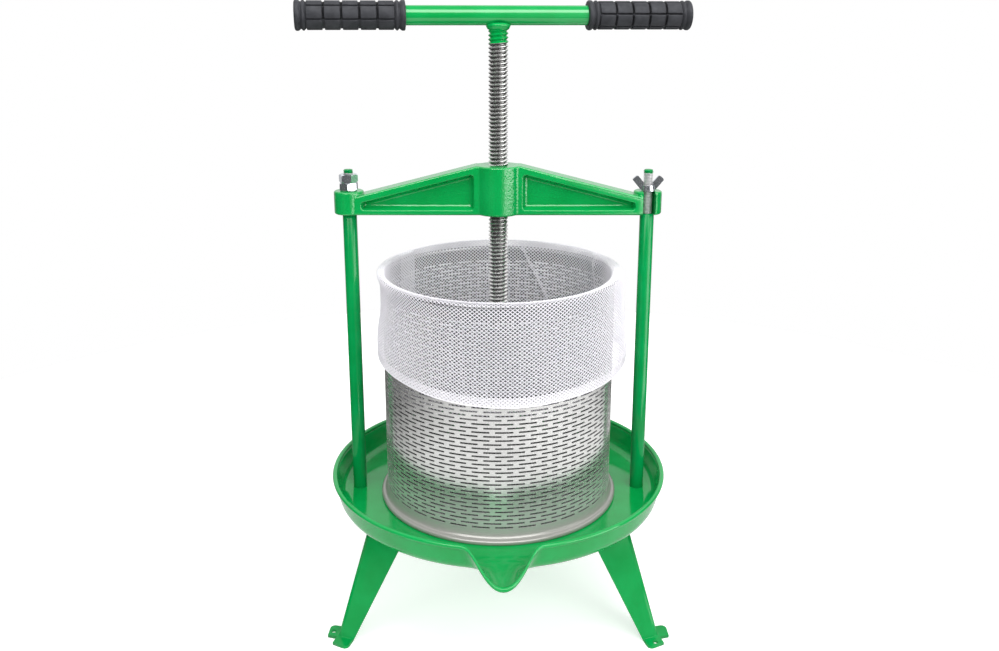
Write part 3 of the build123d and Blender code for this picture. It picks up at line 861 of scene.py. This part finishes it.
handle = {"height": 628.95, "turn": 8.4}
weld = {
    "inner": 9.2, "outer": 12.2, "foot": 615.3, "top": 622.0, "steps": 72,
    "swell": 0.05, "runs": 5.5, "runHeight": 0.5, "uneven": 0.7, "lumps": 3.0, "lumpSeed": 2,
}
grip = {
    "length": 105.0, "bore": 9.5, "core": 12.3, "pad": 13.75, "flange": 14.5, "ring": 14.3, "pads": 5,
    "rows": 6, "stepsPerRow": 10, "padLength": 14.72, "notch": 2.2, "firstPad": 11.3, "edge": 0.7,
    "left": {"start": 90.3, "turnRound": 180, "rowTurn": 10.0},
    "right": {"start": 88.6, "turnRound": 0, "rowTurn": 22.0},
}


def makeWeld(shape):
    # a sloping bead from the screw out to the bar, in overlapping runs
    bm = bmesh.new()
    inner, outer, foot, top = shape["inner"], shape["outer"], shape["foot"], shape["top"]
    turn(bm, [(inner, foot), (inner + 0.9, foot + 0.2), (inner + 1.6, foot + 1.2), (outer - 0.5, foot + 3.0),
              (outer, foot + 4.2), (outer - 0.4, foot + 5.2), (inner, top), (inner, foot)], shape["steps"])
    for vert in bm.verts:
        angle = angleOf(vert.co)
        lump = (shape["lumps"] * math.cos(angle), shape["lumps"] * math.sin(angle), shape["lumpSeed"])
        run = shape["runHeight"] * abs(math.sin(shape["runs"] * angle)) + shape["uneven"] * noise.noise(lump)
        vert.co.xy *= 1 + shape["swell"] * run * (vert.co.xy.length / mm - inner) / (outer - inner)
    finishPiece(bm, "weld_bead", [sheetEnamel], "screw", "green_paint", "handle_weld", sharp=60)


def gripProfile(shape):
    # a closed end, a rounded flange and ring, the core under the pads, and the same back at the bar
    core, flange, ring, length = shape["core"], shape["flange"], shape["ring"], shape["length"]
    end = [(0, 0), (flange - 1.8, 0), (flange - 0.6, 0.5), (flange, 1.6), (flange, 3.2), (flange - 0.5, 4.3),
           (core + 0.3, 5.9), (core + 0.3, 6.1), (ring - 0.5, 7.2), (ring, 7.9), (ring, 8.7),
           (ring - 0.5, 9.4), (core, 10.7)]
    outer = [(radius, length - height) for radius, height in end]
    inner = [(shape["bore"], 0), (shape["bore"] + 1.5, 0)] + end[2:]
    stops = []
    for index in range(shape["pads"]):
        start = shape["firstPad"] + index * (shape["padLength"] + shape["notch"])
        stops += [(core, start), (core, start + shape["padLength"])]
    return inner + stops + outer[::-1]


def raisePads(bm, shape):
    # blocks of the core's faces between the notches, pushed out and rounded along their edges
    steps = shape["rows"] * shape["stepsPerRow"]
    padStep = shape["padLength"] + shape["notch"]
    blocks = {}
    for face in bm.faces:
        middle = face.calc_center_median()
        place = (middle.z / mm - shape["firstPad"]) / padStep
        column = int((angleOf(middle) / (2 * math.pi) % 1) * steps)
        isOnPad = 0 <= place < shape["pads"] and place % 1 < shape["padLength"] / padStep
        if isOnPad and column % shape["stepsPerRow"] > 0:
            blocks.setdefault((int(place), column // shape["stepsPerRow"]), []).append(face)
    for faces in blocks.values():
        raised = bmesh.ops.extrude_face_region(bm, geom=faces)["geom"]
        for vert in ofKind(raised, bmesh.types.BMVert):
            vert.co.xy *= shape["pad"] / shape["core"]
    edges = [
        edge for edge in bm.edges
        if len(edge.link_faces) == 2 and edge.calc_face_angle(0) > cornerTurn
        and all(abs(vert.co.xy.length / mm - shape["pad"]) < closeEnough for vert in edge.verts)]
    bmesh.ops.bevel(
        bm, geom=edges, offset=shape["edge"] * mm, affect="EDGES", segments=2, profile=0.5, material=-1)


def makeGrip(side, shape):
    bm = bmesh.new()
    turn(bm, gripProfile(shape), shape["rows"] * shape["stepsPerRow"])
    bmesh.ops.recalc_face_normals(bm, faces=bm.faces)
    raisePads(bm, shape)
    own = shape[side]
    place = Matrix.Translation((0, 0, handle["height"] * mm))
    place @= Matrix.Rotation(math.radians(handle["turn"] + own["turnRound"]), 4, "Z")
    place @= Matrix.Rotation(math.pi / 2, 4, "Y")
    place @= Matrix.Translation((0, 0, own["start"] * mm))
    place @= Matrix.Rotation(math.radians(own["rowTurn"]), 4, "Z")
    bmesh.ops.transform(bm, matrix=place, verts=bm.verts)
    finishPiece(bm, f"{side}_grip_sleeve", [gripRubber], "screw", "grip_rubber", f"{side}_grip", sharp=40)


makeWeld(weld)
makeGrip("left", grip)
makeGrip("right", grip)


# studio in metres: floor, light and camera

studio = {
    "floorRadius": 1.1, "floorTone": 0.8, "floorLift": 0.55, "ambient": 0.42, "roomTone": 0.03,
    "softEdge": 0.3,
    "patch": {"at": (0.19, -0.4, 0), "tones": (0.93, 0.08), "radii": (0.66, 1.04)},
    "glows": {  # half their width and height as seen from the press, in degrees
        "right": {"azimuth": 43, "rise": 6, "wide": 28, "tall": 32, "tone": 0.55},
        "rightBox": {
            "azimuth": 62, "rise": 7.5, "wide": 20, "tall": 17.5, "tone": 5.0, "soft": 0.08, "once": True},
        "rightStrip": {
            "azimuth": 37, "rise": -9, "wide": 7, "tall": 5, "tone": 5.0, "soft": 0.5, "once": True},
        "left": {"azimuth": -36, "rise": 2, "wide": 16, "tall": 20, "tone": 0.1},
        "overFront": {"azimuth": 0, "rise": 50, "wide": 40, "tall": 20, "tone": 5.2, "once": True},
        "overRight": {"azimuth": 112, "rise": 48, "wide": 34, "tall": 24, "tone": 1.3},
        "overLeft": {"azimuth": -112, "rise": 48, "wide": 34, "tall": 24, "tone": 1.0},
        "above": {"azimuth": 0, "rise": 86, "wide": 30, "tall": 30, "tone": 0.25},
        "behind": {"azimuth": 180, "rise": 27, "wide": 60, "tall": 36, "tone": 0.9},
    },
    "aim": (0, 0, 0.32),
    "lamps": {
        "key": {"at": (1.2, -1.7, 1.5), "size": (1.4, 1.6), "power": 23},
        "fill": {"at": (-1.5, -1.5, 1.5), "size": (1.2, 1.6), "power": 8},
        "top": {"at": (0.2, -0.5, 2.2), "size": (1.6, 1.2), "power": 27},
        "front": {"at": (0, -2.0, 1.3), "size": (1.6, 0.8), "power": 12},
        "back": {"at": (-0.3, 2.0, 1.4), "size": (1.8, 1.2), "power": 14},
    },
}


def raysOf(tree, *names):
    # 1 for the kinds of ray that are named, and 0 for the others
    path = addNode(tree, "ShaderNodeLightPath")
    total = path.outputs[names[0]]
    for name in names[1:]:
        total = operate(tree, "ShaderNodeMath", "MAXIMUM", total, path.outputs[name]).outputs[0]
    return total


def mixByRay(tree, first, second, *rays):
    # the second shader for the kinds of ray that are named, and the first for the others
    mix = addNode(tree, "ShaderNodeMixShader")
    tree.links.new(raysOf(tree, *rays), mix.inputs[0])
    tree.links.new(first.outputs[0], mix.inputs[1])
    tree.links.new(second.outputs[0], mix.inputs[2])
    return mix


def makeFloor(look):
    # white to the camera, and a pale patch in the dark to gloss
    bm = bmesh.new()
    bmesh.ops.create_circle(bm, cap_ends=True, segments=96, radius=look["floorRadius"])
    mesh = bpy.data.meshes.new("studio_floor")
    bm.to_mesh(mesh)
    bm.free()
    material, tree, shader = startMaterial("white_floor", Roughness=0.9, Specular_IOR_Level=0.1)
    tone = look["floorTone"]
    shader.inputs["Base Color"].default_value = (tone, tone, tone, 1)
    glow = addNode(tree, "ShaderNodeEmission")
    straight = raysOf(tree, "Is Camera Ray", "Is Transmission Ray")
    lift = operate(tree, "ShaderNodeMath", "MULTIPLY", straight, look["floorLift"])
    tree.links.new(lift.outputs[0], glow.inputs["Strength"])
    both = addNode(tree, "ShaderNodeAddShader")
    tree.links.new(shader.outputs[0], both.inputs[0])
    tree.links.new(glow.outputs[0], both.inputs[1])
    patch = look["patch"]
    place = addNode(tree, "ShaderNodeTexCoord")
    off = operate(tree, "ShaderNodeVectorMath", "DISTANCE", place.outputs["Object"], patch["at"])
    sheet = addNode(tree, "ShaderNodeEmission")
    level = ranged(tree, off.outputs["Value"], *patch["tones"], *patch["radii"])
    tree.links.new(level, sheet.inputs["Strength"])
    seen = mixByRay(tree, both, sheet, "Is Glossy Ray")
    tree.links.new(seen.outputs[0], tree.nodes["Material Output"].inputs["Surface"])
    mesh.materials.append(material)
    floor = bpy.data.objects.new("studio_floor", mesh)
    scene.collection.objects.link(floor)


def glowIn(tree, direction, glow):
    # a soft box: bright within its width and height as seen from the press, with soft edges
    azimuth, rise = math.radians(glow["azimuth"]), math.radians(glow["rise"])
    flat = Vector((math.sin(azimuth), -math.cos(azimuth), 0))
    middle = flat * math.cos(rise) + Vector((0, 0, math.sin(rise)))
    over = Vector((0, 0, math.cos(rise))) - flat * math.sin(rise)
    shares = []
    for axis, reach in ((middle.cross(over), glow["wide"]), (over, glow["tall"]), (middle, 0)):
        aim = operate(tree, "ShaderNodeVectorMath", "DOT_PRODUCT", direction, axis).outputs["Value"]
        share = ranged(tree, aim, 0, 1, fromLow=0, fromHigh=0.1)
        if reach:
            off = operate(tree, "ShaderNodeMath", "ABSOLUTE", aim)
            inner = reach * (1 - glow["soft"])
            edges = (math.sin(math.radians(inner)), math.sin(math.radians(reach)))
            share = ranged(tree, off.outputs[0], 1, 0, *edges)
        shares.append(share)
    if glow.get("once"):  # seen in the first surface only, so that it throws no bright spots on other pieces
        depth = addNode(tree, "ShaderNodeLightPath").outputs["Ray Depth"]
        shares.append(ranged(tree, depth, 1, 0, fromLow=2, fromHigh=3))
    level = glow["tone"]
    for share in shares:
        level = operate(tree, "ShaderNodeMath", "MULTIPLY", level, share).outputs[0]
    return level


def makeWorld(look):
    # white to the camera, an even light to matt surfaces, and a dim room with soft boxes to gloss
    world = bpy.data.worlds.new("studio")
    world.use_nodes = True
    world.cycles.sampling_method = "NONE"
    tree = world.node_tree
    around = tree.nodes["Background"]
    around.inputs["Color"].default_value = (1, 1, 1, 1)
    around.inputs["Strength"].default_value = look["ambient"]
    room = addNode(tree, "ShaderNodeBackground", Color=(1, 1, 1, 1))
    direction = addNode(tree, "ShaderNodeTexCoord").outputs["Generated"]
    level = look["roomTone"]
    for glow in look["glows"].values():
        lit = glowIn(tree, direction, {"soft": look["softEdge"], **glow})
        level = operate(tree, "ShaderNodeMath", "MAXIMUM", level, lit).outputs[0]
    tree.links.new(level, room.inputs["Strength"])
    white = addNode(tree, "ShaderNodeBackground", Color=(1, 1, 1, 1), Strength=1.0)
    seen = mixByRay(tree, around, room, "Is Glossy Ray", "Is Transmission Ray")
    seen = mixByRay(tree, seen, white, "Is Camera Ray")
    tree.links.new(seen.outputs[0], tree.nodes["World Output"].inputs["Surface"])
    scene.world = world


def makeLamps(look):
    for name, lamp in look["lamps"].items():
        light = bpy.data.lights.new(name, "AREA")
        light.shape = "RECTANGLE"
        light.size, light.size_y = lamp["size"]
        light.energy = lamp["power"]
        holder = bpy.data.objects.new(name, light)
        holder.location = lamp["at"]
        holder.visible_glossy = False
        holder.rotation_euler = (Vector(look["aim"]) - holder.location).to_track_quat("-Z", "Y").to_euler()
        scene.collection.objects.link(holder)


view = {  # the photograph's camera: its place in millimetres and degrees, and its picture in pixels
    "distance": 972.3, "height": 625.4, "tilt": 14.64,
    "focal": 963.8, "middle": (498.3, 270.8), "image": (999, 651),
}


def makeCamera(look):
    wide, tall = look["image"]
    camera = bpy.data.cameras.new("photo_camera")
    camera.sensor_fit = "HORIZONTAL"
    camera.sensor_width = 36
    camera.lens = look["focal"] * camera.sensor_width / wide
    camera.shift_x = (wide / 2 - look["middle"][0]) / wide
    camera.shift_y = (look["middle"][1] - tall / 2) / wide
    holder = bpy.data.objects.new("photo_camera", camera)
    holder.location = (0, -look["distance"] * mm, look["height"] * mm)
    holder.rotation_euler = (math.radians(90 - look["tilt"]), 0, 0)
    scene.collection.objects.link(holder)
    scene.camera = holder


makeFloor(studio)
makeWorld(studio)
makeLamps(studio)
makeCamera(view)
scene.view_settings.view_transform = "Standard"
print("studio made")
